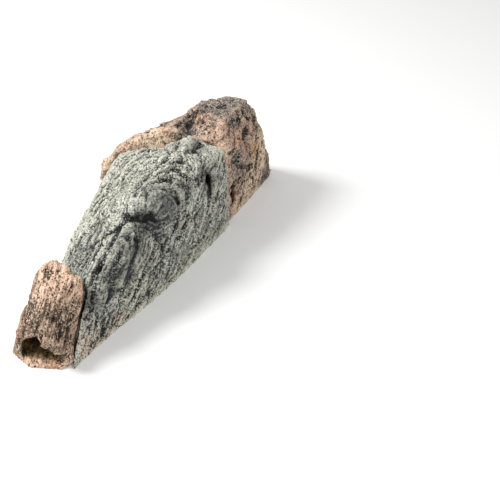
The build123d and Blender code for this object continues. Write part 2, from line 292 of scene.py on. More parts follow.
def weathering_tree():
    """Geometry nodes that break up a stone face: layers, lumps, cracks, pits and grain."""
    tree = bpy.data.node_groups.new("weathered stone", "GeometryNodeTree")
    named = (
        ("Stone", "NodeSocketGeometry", None),
        ("Bed Length", "NodeSocketFloat", 0.045),
        ("Bed Pitch", "NodeSocketFloat", 0.006),
        ("Bed Depth", "NodeSocketFloat", 0.0015),
        ("Step Pitch", "NodeSocketFloat", 0.012),
        ("Step Depth", "NodeSocketFloat", 0.002),
        ("Lump Size", "NodeSocketFloat", 0.03),
        ("Lump Depth", "NodeSocketFloat", 0.002),
        ("Crack Size", "NodeSocketFloat", 0.035),
        ("Crack Depth", "NodeSocketFloat", 0.002),
        ("Pit Size", "NodeSocketFloat", 0.009),
        ("Pit Depth", "NodeSocketFloat", 0.0012),
        ("Grain Size", "NodeSocketFloat", 0.004),
        ("Grain Depth", "NodeSocketFloat", 0.0006),
        ("Seed", "NodeSocketFloat", 0.0),
        ("Finish", "NodeSocketMaterial", None),
    )
    for name, kind, value in named:
        socket = tree.interface.new_socket(name, in_out="INPUT", socket_type=kind)
        if value is not None:
            socket.default_value = value
    tree.interface.new_socket("Stone", in_out="OUTPUT", socket_type="NodeSocketGeometry")
    given = tree.nodes.new("NodeGroupInput").outputs

    def join(value, socket):
        if isinstance(value, bpy.types.NodeSocket):
            tree.links.new(value, socket)
        else:
            socket.default_value = value

    def maths(operation, a, b=0.0):
        node = tree.nodes.new("ShaderNodeMath")
        node.operation = operation
        join(a, node.inputs[0])
        join(b, node.inputs[1])
        return node.outputs[0]

    def vector_maths(operation, a, b):
        node = tree.nodes.new("ShaderNodeVectorMath")
        node.operation = operation
        join(a, node.inputs[0])
        join(b, node.inputs[3] if operation == "SCALE" else node.inputs[1])
        return node.outputs[0]

    def noise(place, seed_shift, detail=2.0, rough=0.5):
        node = tree.nodes.new("ShaderNodeTexNoise")
        node.noise_dimensions = "4D"
        join(place, node.inputs["Vector"])
        join(maths("ADD", given["Seed"], seed_shift), node.inputs["W"])
        node.inputs["Scale"].default_value = 1.0
        node.inputs["Detail"].default_value = detail
        node.inputs["Roughness"].default_value = rough
        return node.outputs["Fac"]

    def span(value, low, high, to_low=0.0, to_high=1.0):
        node = tree.nodes.new("ShaderNodeMapRange")
        node.interpolation_type = "SMOOTHSTEP"
        join(value, node.inputs["Value"])
        for key, number in zip(("From Min", "From Max", "To Min", "To Max"), (low, high, to_low, to_high)):
            node.inputs[key].default_value = number
        return node.outputs["Result"]

    def stored(name, kind):
        node = tree.nodes.new("GeometryNodeInputNamedAttribute")
        node.data_type = kind
        node.inputs["Name"].default_value = name
        return node.outputs["Attribute"]

    def per(size):
        return maths("DIVIDE", 1.0, size)

    place = tree.nodes.new("GeometryNodeInputPosition").outputs[0]
    lay = stored("lay", "FLOAT_VECTOR")
    squeeze = tree.nodes.new("ShaderNodeCombineXYZ")
    join(per(given["Bed Length"]), squeeze.inputs[0])
    join(per(given["Bed Pitch"]), squeeze.inputs[1])
    join(per(given["Bed Length"]), squeeze.inputs[2])
    bed_place = vector_maths("MULTIPLY", lay, squeeze.outputs[0])
    bed = noise(bed_place, 0.0, 3.0, 0.55)
    line = maths("MULTIPLY", maths("ABSOLUTE", maths("SUBTRACT", bed, 0.5)), 9.0)
    cut = maths("SUBTRACT", 1.0, maths("MINIMUM", line, 1.0))
    rounded = maths("MULTIPLY", maths("SUBTRACT", bed, 0.5), 1.6)
    bed_height = maths("SUBTRACT", rounded, maths("MULTIPLY", cut, cut))
    bedded = stored("bedded", "FLOAT")
    height = maths("MULTIPLY", maths("MULTIPLY", bed_height, given["Bed Depth"]), bedded)

    lump_place = vector_maths("SCALE", place, per(given["Lump Size"]))
    lump = maths("SUBTRACT", noise(lump_place, 3.0, 3.0, 0.5), 0.5)
    height = maths("ADD", height, maths("MULTIPLY", maths("MULTIPLY", lump, 2.4), given["Lump Depth"]))

    across = tree.nodes.new("ShaderNodeSeparateXYZ")
    join(lay, across.inputs[0])
    waver = maths("MULTIPLY", maths("SUBTRACT", noise(lump_place, 7.0, 3.0, 0.55), 0.5), 3.6)
    layer = maths("FRACT", maths("ADD", maths("DIVIDE", across.outputs[1], given["Step Pitch"]), waver))
    drop = maths("SUBTRACT", maths("POWER", layer, 2.2), 0.35)
    broken = span(noise(vector_maths("SCALE", lump_place, 0.8), 11.0, 2.0), 0.42, 0.6)
    drop = maths("MULTIPLY", maths("MULTIPLY", drop, broken), maths("MULTIPLY", given["Step Depth"], bedded))
    height = maths("ADD", height, drop)

    crack = tree.nodes.new("ShaderNodeTexVoronoi")
    crack.voronoi_dimensions = "4D"
    crack.feature = "DISTANCE_TO_EDGE"
    crack_length = per(maths("MULTIPLY", given["Crack Size"], 2.2))
    drawn_out = tree.nodes.new("ShaderNodeCombineXYZ")
    join(crack_length, drawn_out.inputs[0])
    join(per(given["Crack Size"]), drawn_out.inputs[1])
    join(crack_length, drawn_out.inputs[2])
    bent = vector_maths("MULTIPLY", lay, drawn_out.outputs[0])
    wander = tree.nodes.new("ShaderNodeTexNoise")
    join(vector_maths("SCALE", place, 110.0), wander.inputs["Vector"])
    wander.inputs["Scale"].default_value = 1.0
    wander.inputs["Detail"].default_value = 3.0
    bent = vector_maths("ADD", bent, vector_maths("SCALE", wander.outputs["Color"], 0.55))
    join(bent, crack.inputs["Vector"])
    join(given["Seed"], crack.inputs["W"])
    crack.inputs["Scale"].default_value = 1.0
    gash = span(crack.outputs["Distance"], 0.0, 0.09, 1.0, 0.0)
    gash = maths("MULTIPLY", gash, span(noise(lump_place, 17.0, 1.0), 0.44, 0.58))
    height = maths("SUBTRACT", height, maths("MULTIPLY", gash, given["Crack Depth"]))

    pit = tree.nodes.new("ShaderNodeTexVoronoi")
    pit.feature = "F1"
    join(vector_maths("SCALE", place, per(given["Pit Size"])), pit.inputs["Vector"])
    pit.inputs["Scale"].default_value = 1.0
    dint = span(pit.outputs["Distance"], 0.05, 0.5, 1.0, 0.0)
    dint = maths("MULTIPLY", dint, span(noise(lump_place, 23.0, 3.0), 0.45, 0.62))
    height = maths("SUBTRACT", height, maths("MULTIPLY", dint, given["Pit Depth"]))

    grain_place = vector_maths("SCALE", place, per(given["Grain Size"]))
    grain = maths("SUBTRACT", noise(grain_place, 29.0, 3.0, 0.6), 0.5)
    height = maths("ADD", height, maths("MULTIPLY", maths("MULTIPLY", grain, 3.0), given["Grain Depth"]))

    height = maths("MULTIPLY", height, stored("relief", "FLOAT"))
    moved = tree.nodes.new("GeometryNodeSetPosition")
    join(given["Stone"], moved.inputs["Geometry"])
    join(vector_maths("SCALE", stored("outward", "FLOAT_VECTOR"), height), moved.inputs["Offset"])
    plain = tree.nodes.new("GeometryNodeRealizeInstances")
    join(moved.outputs[0], plain.inputs[0])
    painted = tree.nodes.new("GeometryNodeSetMaterial")
    join(plain.outputs[0], painted.inputs["Geometry"])
    join(given["Finish"], painted.inputs["Material"])
    result = tree.nodes.new("NodeGroupOutput")
    join(painted.outputs[0], result.inputs[0])
    return tree


def tint(red, green, blue):
    """A paint-chart colour from 0 to 255 as the linear colour a shader wants."""
    chart = np.array((red, green, blue)) / 255.0
    linear = np.where(chart < 0.04045, chart / 12.92, ((chart + 0.055) / 1.055) ** 2.4)
    return (*[float(part) for part in linear], 1.0)


class Paint:
    """A stone paint while it is mixed: a material's nodes, with short calls for each kind."""

    def __init__(self, name):
        self.material = bpy.data.materials.new(name)
        self.material.use_nodes = True
        self.tree = self.material.node_tree
        self.shader = self.tree.nodes["Principled BSDF"]
        self.place = self.tree.nodes.new("ShaderNodeTexCoord").outputs["Object"]

    def join(self, value, socket):
        if isinstance(value, bpy.types.NodeSocket):
            self.tree.links.new(value, socket)
        else:
            socket.default_value = value

    def kept(self, name, output="Fac"):
        node = self.tree.nodes.new("ShaderNodeAttribute")
        node.attribute_name = name
        return node.outputs[output]

    def noise(self, size, seed=0.0, detail=2.0, rough=0.5, place=None, warp=0.0):
        """Noise with features about size millimetres across."""
        node = self.tree.nodes.new("ShaderNodeTexNoise")
        node.noise_dimensions = "4D"
        self.join(self.place if place is None else place, node.inputs["Vector"])
        node.inputs["W"].default_value = seed
        node.inputs["Scale"].default_value = 1.0 / (size * mm)
        node.inputs["Detail"].default_value = detail
        node.inputs["Roughness"].default_value = rough
        node.inputs["Distortion"].default_value = warp
        return node.outputs["Fac"]

    def span(self, value, low, high, to_low=0.0, to_high=1.0):
        node = self.tree.nodes.new("ShaderNodeMapRange")
        self.join(value, node.inputs["Value"])
        for key, number in zip(("From Min", "From Max", "To Min", "To Max"), (low, high, to_low, to_high)):
            node.inputs[key].default_value = number
        return node.outputs["Result"]

    def maths(self, operation, a, b=0.0):
        node = self.tree.nodes.new("ShaderNodeMath")
        node.operation = operation
        self.join(a, node.inputs[0])
        self.join(b, node.inputs[1])
        return node.outputs[0]

    def mix(self, share, under, over, blend="MIX"):
        node = self.tree.nodes.new("ShaderNodeMix")
        node.data_type = "RGBA"
        node.blend_type = blend
        self.join(share, node.inputs[0])
        self.join(under, node.inputs[6])
        self.join(over, node.inputs[7])
        return node.outputs[2]

    def chart(self, value, *stops):
        """Colours laid along a value from 0 to 1."""
        node = self.tree.nodes.new("ShaderNodeValToRGB")
        band = node.color_ramp
        while len(band.elements) < len(stops):
            band.elements.new(1.0)
        for element, (position, colour) in zip(band.elements, stops):
            element.position = position
            element.color = colour
        self.join(value, node.inputs[0])
        return node.outputs[0]

    def stretched(self, along, across):
        """A place on the stone's layers, drawn out along them."""
        node = self.tree.nodes.new("ShaderNodeVectorMath")
        node.operation = "MULTIPLY"
        self.join(self.kept("lay", "Vector"), node.inputs[0])
        node.inputs[1].default_value = (1.0 / along, 1.0 / across, 1.0 / along)
        return node.outputs[0]

    def grains(self, size):
        """A random number for each mineral grain, and how far a place is from its grain's middle."""
        wobble = 0.27
        bend = self.tree.nodes.new("ShaderNodeTexNoise")
        self.join(self.place, bend.inputs["Vector"])
        bend_size = 1.6 * size * mm
        bend.inputs["Scale"].default_value = 1.0 / bend_size
        shift = self.tree.nodes.new("ShaderNodeVectorMath")
        shift.operation = "MULTIPLY_ADD"
        self.join(bend.outputs["Color"], shift.inputs[0])
        shift.inputs[1].default_value = (wobble * 4.0 * size * mm,) * 3
        self.join(self.place, shift.inputs[2])
        cell = self.tree.nodes.new("ShaderNodeTexVoronoi")
        self.join(shift.outputs[0], cell.inputs["Vector"])
        cell.inputs["Scale"].default_value = 1.0 / (size * mm)
        parts = self.tree.nodes.new("ShaderNodeSeparateColor")
        self.join(cell.outputs["Color"], parts.inputs[0])
        return parts.outputs[0], cell.outputs["Distance"]

    def speckle(self, colour, dark, light, size=1.25, dark_share=0.25, light_share=0.17, drift=None):
        """Black and pale mineral grains over a colour; drift gathers them in clouds."""
        edge, gathered = 0.06, 0.16
        black_cover, pale_cover = 0.92, 0.72
        grain, middle = self.grains(size)
        if drift is not None:
            grain = self.maths("ADD", grain, self.span(drift, 0.3, 0.7, -gathered, gathered))
        black = self.span(grain, dark_share, dark_share - edge)
        pale = self.span(grain, 1.0 - light_share, 1.0 - light_share + edge)
        colour = self.mix(self.maths("MULTIPLY", black, black_cover), colour, dark)
        colour = self.mix(self.maths("MULTIPLY", pale, pale_cover), colour, light)
        return colour, self.maths("ADD", grain, self.maths("MULTIPLY", middle, -0.5))

    def wear(self, colour, dark, light, dark_pull=1.0, light_pull=0.5):
        """The dark wash in the hollows and the dry-brushed pale paint on the high places."""
        wash_cover, brush_cover = 0.94, 0.8
        low = self.maths("MULTIPLY", self.kept("hollow"), dark_pull)
        low = self.maths("MINIMUM", low, wash_cover)
        high = self.maths("MULTIPLY", self.kept("proud"), light_pull)
        high = self.maths("MINIMUM", high, brush_cover)
        return self.mix(low, self.mix(high, colour, light), dark)

    def lacquer(self, colour, grit, roughness=(0.72, 0.95), bump=0.7, distance=0.3):
        """Puts the colour on a matt, gritty shader."""
        self.join(colour, self.shader.inputs["Base Color"])
        self.join(self.span(grit, 0.0, 0.9, *roughness), self.shader.inputs["Roughness"])
        self.shader.inputs["Specular IOR Level"].default_value = 0.3
        lift = self.tree.nodes.new("ShaderNodeBump")
        lift.inputs["Strength"].default_value = bump
        lift.inputs["Distance"].default_value = distance * mm
        self.join(grit, lift.inputs["Height"])
        self.join(lift.outputs["Normal"], self.shader.inputs["Normal"])


stone_weather = weathering_tree()

gneiss = StoneSkin("gneiss_shell", "gneiss_stone", cell=1.7, neighbours=("block_shell", "boulder_shell"))
gneiss.relax(14)
x, y, z = gneiss.points.T
# The ledge, with the dark hollows below it and the folds that run round it.
gneiss.swell((-38, -70, 102), (26, 18, 15), 8.0)
gneiss.swell((-52, -82, 90), (26, 12, 12), -5.0)
gneiss.groove([(-86, -58, 104), (-74, -68, 100), (-60, -76, 96), (-48, -80, 92)], 4.0, 8.0)
gneiss.groove([(-74, -72, 99), (-66, -76, 96)], 5.0, 6.0)
gneiss.swell((-69, -73, 98), (5, 5, 4), -5.0)
gneiss.swell((-80, -50, 103), (6, 5, 5), -4.0)
gneiss.groove([(-68, -44, 112), (-44, -44, 113), (-16, -51, 113), (8, -68, 108), (12, -82, 95),
               (4, -92, 74)], 2.8, 5.2)
gneiss.groove([(-60, -52, 112), (-38, -52, 113), (-20, -58, 111), (-4, -70, 106), (2, -81, 95)], 3.2, -4.0)
gneiss.groove([(-20, -44, 112), (4, -50, 114), (20, -60, 115), (24, -74, 109), (24, -86, 94)], 2.6, 3.6)
gneiss.groove([(-12, -48, 113), (6, -55, 115), (16, -66, 113), (18, -78, 104)], 2.6, -3.0)
gneiss.groove([(2, -42, 113), (26, -50, 117), (38, -60, 117), (42, -76, 109)], 2.4, 3.2)
gneiss.groove([(10, -44, 114), (28, -54, 117), (34, -68, 114)], 2.6, -2.6)
gneiss.groove([(-60, -30, 104), (-40, -36, 109), (-18, -38, 111), (10, -38, 113), (36, -40, 117),
               (62, -42, 119)], 3.0, 3.8)
gneiss.groove([(60, -76, 110), (60, -88, 98)], 3.4, 3.6)
# The upright cracks by the block, and the long layers that run down to the boulder.
gneiss.groove([(57, -96, 66), (50, -98, 52), (42, -100, 38)], 3.4, 4.6)
gneiss.groove([(74, -80, 108), (74, -92, 88), (68, -96, 66)], 5.0, -2.0)
gneiss.groove([(-73, -50, 105), (-92, -52, 98), (-113, -53, 89), (-132, -54, 81), (-150, -56, 72),
               (-170, -56, 58), (-189, -61, 44)], 3.0, 4.6)
gneiss.groove([(-99, -35, 86), (-116, -37, 80), (-134, -39, 73), (-155, -42, 63)], 2.8, 4.6)
gneiss.groove([(-154, -60, 70), (-167, -62, 62), (-181, -67, 52), (-194, -73, 38)], 2.3, 5.2)
gneiss.groove([(-164, -64, 61), (-176, -68, 52), (-188, -74, 40)], 2.4, -2.4)
gneiss.groove([(-120, -66, 84), (-138, -66, 76), (-156, -68, 64)], 2.6, -2.6)
gneiss.groove([(-136, -77, 69), (-153, -79, 56), (-170, -81, 40), (-182, -84, 24)], 3.0, 5.0)
gneiss.groove([(-72, -78, 90), (-63, -87, 67), (-58, -93, 44)], 2.6, 3.8)
gneiss.groove([(1, -86, 88), (-16, -89, 69), (-38, -91, 58), (-56, -93, 36)], 2.6, 3.6)
gneiss.groove([(-112, -62, 87), (-124, -70, 81), (-138, -72, 73), (-152, -74, 61), (-166, -76, 50)], 2.6, 4.0)
gneiss.groove([(-70, -63, 105), (-90, -55, 100), (-103, -44, 90), (-112, -28, 76), (-122, -20, 66)], 2.6, 4.0)
gneiss.groove([(-36, -10, 88), (-68, -10, 81), (-92, -8, 72), (-118, -2, 58)], 2.4, 2.0)
gneiss.groove([(-84, -66, 99), (-92, -74, 91), (-100, -80, 80), (-120, -82, 64), (-142, -84, 46)], 2.4, 3.4)
gneiss.groove([(-70, -86, 76), (-62, -90, 64), (-50, -94, 44)], 2.4, 3.0)
gneiss.groove([(-26, -92, 44), (-13, -94, 53), (4, -93, 64)], 2.6, 3.0)
gneiss.groove([(-158, -80, 54), (-150, -82, 50), (-138, -86, 40)], 2.6, 4.5)
gneiss.groove([(-100, -96, 18), (-90, -98, 10), (-84, -99, 2)], 4.0, 4.0)
gneiss.groove([(-10, -98, 16), (12, -96, 34), (30, -94, 50)], 2.6, 3.4)
gneiss.groove([(-128, -90, 22), (-104, -90, 40), (-84, -88, 56)], 2.8, 4.2)
# The knob on the crest beside the block.
gneiss.swell((92, -44, 116), (17, 13, 12), 7.0)
gneiss.swell((64, -54, 119), (12, 10, 10), 4.0)
gneiss.swell((88, -76, 112), (16, 9, 10), 5.0)
gneiss.groove([(54, -58, 119), (70, -62, 119), (86, -62, 118), (102, -58, 115)], 4.0, 5.5)
gneiss.groove([(74, -36, 116), (70, -48, 120), (78, -58, 119)], 2.4, 2.6)
gneiss.swell((70, -94, 91), (9, 7, 7), -4.0)
gneiss.swell((44, -58, 117), (12, 14, 10), 2.5)
# The back slope.
gneiss.swell((108, 70, 56), (30, 16, 18), 4.5)
gneiss.swell((100, 48, 70), (26, 14, 16), 3.0)
gneiss.swell((-6, 84, 62), (60, 30, 20), -2.5)
gneiss.swell((-90, 40, 44), (40, 26, 18), 3.0)
gneiss.groove([(100, 60, 66), (60, 66, 60), (10, 62, 60), (-30, 70, 50)], 3.0, 3.0)
gneiss.groove([(90, 92, 26), (40, 98, 22), (-10, 94, 20), (-60, 84, 18)], 3.0, 3.4)
gneiss.groove([(20, 20, 92), (-20, 16, 84), (-60, 20, 72), (-90, 26, 56)], 2.6, 2.4)
gneiss.carve()
gneiss.relax(1)

# The layers climb gently at the back and steeply in front, and bend in rings round the ledge.
back_climb, front_climb = 7.0, 36.0
turn_y, turn_width = -38.0, 13.0
pivot_x = -60.0
lean = 0.45
past_turn = np.clip((y - turn_y) / turn_width, -30.0, 30.0)
climb = np.radians(back_climb + (front_climb - back_climb) / (1.0 + np.exp(past_turn)))
runs = (x - pivot_x) * np.cos(climb) + z * np.sin(climb)
rises = z * np.cos(climb) - (x - pivot_x) * np.sin(climb) - lean * y
eye_of_ledge = np.array((-36.0, -74.0, 98.0))
ring = np.linalg.norm((gneiss.points - eye_of_ledge) * (0.8, 1.0, 1.1), axis=1)
round_ledge = fade(ring, 62.0, -24.0) * (x > -75) * fade(z, 66.0, 18.0)
rises = rises * (1.0 - round_ledge) + ring * round_ledge
gneiss.store("lay", np.stack((runs, rises, 0.8 * y), axis=1) * mm)

plain_face = fade(x, -62.0, 50.0) * fade(z, 88.0, -16.0) * (y < -40)
gneiss.store("bedded", 1.0 - 0.6 * plain_face)

# Where each paint goes: pale on the back slope and the crest; painted shade in dark grey under and beside the
# ledge and in the deep creases, partly the ornament's own dark wash there, and a fainter painted shade on the
# back slope left of the ledge; pale buff and moss along the foot; and pink rubbed off the boulder.
back_slope = fade(y, -62.0, 36.0) * np.maximum(fade(x, -230.0, 190.0), 0.2)
top_of_crest = fade(z, 102.0, 8.0) * fade(x, -4.0, 20.0)
gneiss.store("pale", np.maximum(back_slope, top_of_crest))
# Painted shade: a faint one on the back slope left of the ledge, and a dark grey one under and beside the
# ledge and in the deep creases, partly the ornament's own dark wash there.
faint_painted_shade = 0.5 * gneiss.patch([((-125, -18, 62), 24), ((-150, -20, 50), 22), ((-96, -22, 78), 12)])
gneiss.store("painted_shade", np.maximum(faint_painted_shade, gneiss.patch([
    ((-30, -80, 96), 20), ((-56, -82, 92), 20), ((-70, -72, 98), 18), ((-106, -74, 82), 22),
    ((-60, -88, 70), 13), ((84, -64, 117), 13), ((-146, -72, 62), 20), ((60, -92, 92), 14),
    ((-178, -66, 48), 15), ((-126, -80, 60), 18), ((-42, -78, 101), 23), ((-69, -73, 97), 6),
    ((-24, -82, 92), 18),
])))
gneiss.store("foot", fade(z, 15.0, -13.0) * (y < -60.0) * fade(x, -190.0, 40.0))
gneiss.store("moss", fade(z, 26.0, -26.0) + 0.8 * gneiss.patch([
    ((10, -96, 28), 30), ((-120, -84, 44), 22), ((-30, 20, 74), 24), ((60, -50, 112), 18),
]))
gneiss.store("blush", gneiss.patch([
    ((-182, -57, 44), 7), ((-194, -60, 36), 8), ((-206, -64, 27), 8), ((-216, -72, 14), 10),
    ((-206, -80, 6), 15), ((-188, -84, 4), 14), ((-170, -87, 3), 12), ((-152, -88, 6), 12),
    ((-128, -91, 3), 10),
]))

gneiss_paint = Paint("washed gneiss")
cloud = gneiss_paint.noise(42, 1.0, 3.0, 0.6)
smudge = gneiss_paint.noise(1000.0, 2.0, 3.0, 0.65, gneiss_paint.stretched(0.027, 0.0085))
grey = gneiss_paint.chart(cloud, (0.36, tint(86, 92, 91)), (0.47, tint(112, 116, 110)),
                          (0.56, tint(134, 132, 120)), (0.66, tint(94, 101, 98)))
pale = gneiss_paint.chart(cloud, (0.36, tint(158, 159, 147)), (0.5, tint(186, 184, 168)),
                          (0.64, tint(150, 153, 143)))
ground = gneiss_paint.mix(gneiss_paint.kept("pale"), grey, pale)
moss_share = gneiss_paint.maths("MULTIPLY", gneiss_paint.kept("moss"), gneiss_paint.span(cloud, 0.38, 0.58))
ground = gneiss_paint.mix(gneiss_paint.maths("MULTIPLY", moss_share, 0.65), ground, tint(158, 156, 122))
ground = gneiss_paint.mix(gneiss_paint.span(smudge, 0.53, 0.64, 0.0, 0.4), ground, tint(176, 177, 166))
ground = gneiss_paint.mix(gneiss_paint.span(smudge, 0.47, 0.37, 0.0, 0.55), ground, tint(60, 63, 62))
streak = gneiss_paint.noise(1000.0, 4.0, 3.0, 0.6, gneiss_paint.stretched(0.042, 0.0024))
ground = gneiss_paint.mix(gneiss_paint.span(streak, 0.48, 0.40, 0.0, 0.6), ground, tint(56, 59, 58))
ground = gneiss_paint.mix(gneiss_paint.span(streak, 0.54, 0.63, 0.0, 0.4), ground, tint(184, 185, 174))
blush = gneiss_paint.maths("MULTIPLY", gneiss_paint.kept("blush"), gneiss_paint.span(smudge, 0.36, 0.5))
ground = gneiss_paint.mix(gneiss_paint.maths("MULTIPLY", blush, 0.92), ground, tint(186, 146, 124))
broken_foot = gneiss_paint.span(smudge, 0.4, 0.54, 0.25, 0.8)
foot = gneiss_paint.maths("MULTIPLY", gneiss_paint.kept("foot"), broken_foot)
ground = gneiss_paint.mix(foot, ground, tint(190, 186, 162))
ground = gneiss_paint.wear(ground, tint(30, 32, 31), tint(216, 214, 198), 1.05, 0.55)
ground, gneiss_grit = gneiss_paint.speckle(ground, tint(24, 26, 25), tint(222, 224, 212), drift=smudge)
# The painted shade in dark grey, broken up by the smudge, laid over the grains.
broken_painted_shade = gneiss_paint.span(smudge, 0.36, 0.60, 0.84, 0.42)
painted_shade = gneiss_paint.maths("MULTIPLY", gneiss_paint.kept("painted_shade"), broken_painted_shade)
ground = gneiss_paint.mix(painted_shade, ground, tint(34, 38, 43))
# Painted shade: the inner walls and the undersides of overhangs, seen through the slit and the pits, are
# painted near black.
inside = gneiss_paint.maths("MULTIPLY", gneiss_paint.kept("inner"), 0.96)
ground = gneiss_paint.mix(inside, ground, tint(17, 16, 14))
gneiss_paint.lacquer(ground, gneiss_grit)

gneiss.weather(stone_weather, gneiss_paint.material, **{
    "Bed Length": 0.070, "Bed Pitch": 0.0078, "Bed Depth": 0.0026, "Step Pitch": 0.0140,
    "Step Depth": 0.0036, "Lump Size": 0.034, "Lump Depth": 0.0026, "Crack Size": 0.026,
    "Crack Depth": 0.0030, "Pit Size": 0.007, "Pit Depth": 0.0006, "Grain Size": 0.0046,
    "Grain Depth": 0.0004, "Seed": 2.0,
})
gneiss.stain()
gneiss.finish("root", "gneiss_resin", "gneiss_shell")


# ---------------------------------------------------------------- granite block
# The tall blunt stone at the far end: a second hollow resin casting, of broken pink granite with
# ashen patches. It is painted by hand and bonded to the end of the ridge.

block = StoneSkin("block_shell", "block_stone", cell=1.7, neighbours=("gneiss_shell",))
block.relax(12)
x, y, z = block.points.T
block.swell((125, -22, 121), (13, 9, 10), -6.0)
block.groove([(146, -26, 130), (132, -24, 124), (118, -30, 118), (108, -34, 110)], 4.0, 4.5)
block.groove([(165, -24, 130), (146, -14, 124), (124, -8, 112)], 3.0, -2.5)
block.swell((114, 92, 28), (16, 16, 26), 3.5)
block.swell((112, 74, 66), (16, 14, 20), 3.5)
block.swell((182, -50, 130), (30, 24, 14), 2.0)
block.swell((138, -66, 124), (20, 16, 14), 3.0)
block.groove([(120, -60, 118), (140, -78, 116), (160, -92, 100)], 3.0, 4.0)
block.groove([(188, -66, 131), (192, -84, 116), (186, -94, 92)], 3.4, 5.0)
block.swell((180, -88, 102), (12, 10, 11), -7.0)
block.swell((182, -84, 117), (24, 9, 8), 4.0)
block.swell((158, -90, 100), (9, 9, 14), 3.5)
block.swell((203, -88, 96), (9, 9, 16), 3.5)
block.swell((128, -80, 117), (18, 14, 13), 4.5)
block.groove([(112, -88, 104), (128, -94, 96), (146, -94, 98), (152, -88, 110)], 3.0, 4.6)
block.groove([(200, -60, 128), (214, -74, 116), (226, -84, 96)], 3.0, 3.6)
block.groove([(130, -94, 84), (150, -98, 66), (176, -100, 52), (204, -100, 40)], 3.0, 4.0)
block.groove([(120, -98, 40), (140, -101, 52), (156, -99, 74)], 2.8, 3.2)
block.swell((118, -96, 64), (18, 12, 18), 3.0)
block.swell((176, -102, 26), (24, 12, 16), 3.0)
block.groove([(214, 20, 118), (222, 40, 92), (228, 52, 60), (236, 60, 28)], 3.2, 4.2)
block.groove([(130, 40, 88), (150, 64, 70), (176, 82, 56), (206, 90, 44)], 3.0, 4.0)
block.swell((160, 60, 76), (26, 22, 20), 3.0)
block.swell((200, 88, 36), (24, 18, 18), -4.0)
block.carve()
block.relax(1)
x, y, z = block.points.T
split = np.radians(38.0)
block.store("lay", np.stack((
    x * np.cos(split) + z * np.sin(split) + 0.3 * y,
    z * np.cos(split) - x * np.sin(split) + 0.5 * y,
    0.8 * y,
), axis=1) * mm)
block.store("bedded", np.full(len(x), 0.8))
block.store("ash", fade(z, 112.0, 14.0) * fade(x, 130.0, 30.0) + block.patch([
    ((236, -56, 74), 20), ((146, -92, 76), 18), ((122, -96, 62), 13), ((150, -98, 52), 12),
    ((180, 70, 84), 34), ((150, 78, 46), 20), ((228, 10, 100), 26),
]))
# Painted shade in dark blue-grey: in the block's deep hollows and at the right end of its front foot.
block.store("hollow_shade", block.patch([
    ((126, -22, 122), 13), ((117, -30, 117), 9), ((238, -103, 13), 13), ((226, -103, 8), 8),
    ((180, -88, 103), 10), ((206, 84, 40), 16), ((150, -34, 130), 7),
]))
# Cream paint on the left face; over the weakly lit front face and its foot the pale cream is partly painted
# light.
block.store("cream_and_painted_light", block.patch([
    ((112, 20, 92), 24), ((110, 50, 76), 22), ((110, 84, 34), 18), ((110, -90, 106), 14),
    ((164, -103, 12), 22), ((138, -103, 6), 18), ((186, -100, 30), 18), ((200, -98, 44), 16),
    ((216, -100, 30), 22), ((208, -92, 66), 20), ((224, -98, 46), 20), ((212, -86, 84), 15),
    ((196, -102, 10), 20), ((222, -88, 64), 14),
]))
block.store("rose", block.patch([
    ((130, -78, 118), 19), ((112, -94, 80), 18), ((130, -97, 40), 22), ((196, -86, 106), 15),
    ((172, -84, 116), 13), ((172, -94, 84), 15), ((120, 66, 56), 20), ((214, 60, 70), 24),
]))
block.store("rust", block.patch([
    ((141, -34, 130), 14), ((118, 2, 106), 9), ((206, -96, 66), 14), ((157, -31, 132), 10),
    ((244, 60, 24), 26), ((168, 20, 116), 20), ((150, -86, 104), 13),
]))

block_paint = Paint("hand painted granite")
cloud = block_paint.noise(26, 31.0, 4.0, 0.6, warp=0.4)
smudge = block_paint.noise(9, 32.0, 3.0, 0.65)
ground = block_paint.chart(cloud, (0.38, tint(92, 84, 76)), (0.46, tint(122, 106, 90)),
                           (0.54, tint(146, 121, 101)), (0.62, tint(108, 94, 80)))
stain_cloud = block_paint.noise(34, 34.0, 3.0)
ground = block_paint.mix(block_paint.span(stain_cloud, 0.54, 0.62, 0.0, 0.75), ground, tint(76, 76, 72))
ground = block_paint.mix(block_paint.span(smudge, 0.47, 0.37, 0.0, 0.6), ground, tint(60, 50, 45))
ground = block_paint.mix(block_paint.span(smudge, 0.55, 0.66, 0.0, 0.5), ground, tint(208, 178, 154))
streak = block_paint.noise(1000.0, 35.0, 3.0, 0.6, block_paint.stretched(0.018, 0.003))
ground = block_paint.mix(block_paint.span(streak, 0.46, 0.36, 0.0, 0.6), ground, tint(64, 50, 44))
patchy = block_paint.span(smudge, 0.36, 0.48, 0.55, 1.0)
# Patches laid over the ground; the cream on the front face and foot is partly painted light.
for place_name, strength, colour in (
    ("cream_and_painted_light", 0.9, tint(228, 202, 172)), ("rose", 0.75, tint(186, 138, 119)),
    ("rust", 0.85, tint(184, 126, 78)), ("ash", 0.9, tint(94, 96, 95)),
):
    share = block_paint.maths("MULTIPLY", block_paint.kept(place_name), patchy)
    ground = block_paint.mix(block_paint.maths("MULTIPLY", share, strength), ground, colour)
ground = block_paint.wear(ground, tint(34, 28, 25), tint(222, 194, 170), 1.6, 0.4)
ground, block_grit = block_paint.speckle(ground, tint(32, 27, 25), tint(218, 196, 176), drift=smudge)
# The painted shade in the hollows and at the foot, broken up by the smudge.
broken_hollow_shade = block_paint.span(smudge, 0.38, 0.58, 0.85, 0.5)
hollow_shade = block_paint.maths("MULTIPLY", block_paint.kept("hollow_shade"), broken_hollow_shade)
ground = block_paint.mix(hollow_shade, ground, tint(36, 40, 46))
inside = block_paint.maths("MULTIPLY", block_paint.kept("inner"), 0.9)
ground = block_paint.mix(inside, ground, tint(42, 35, 30))
block_paint.lacquer(ground, block_grit)

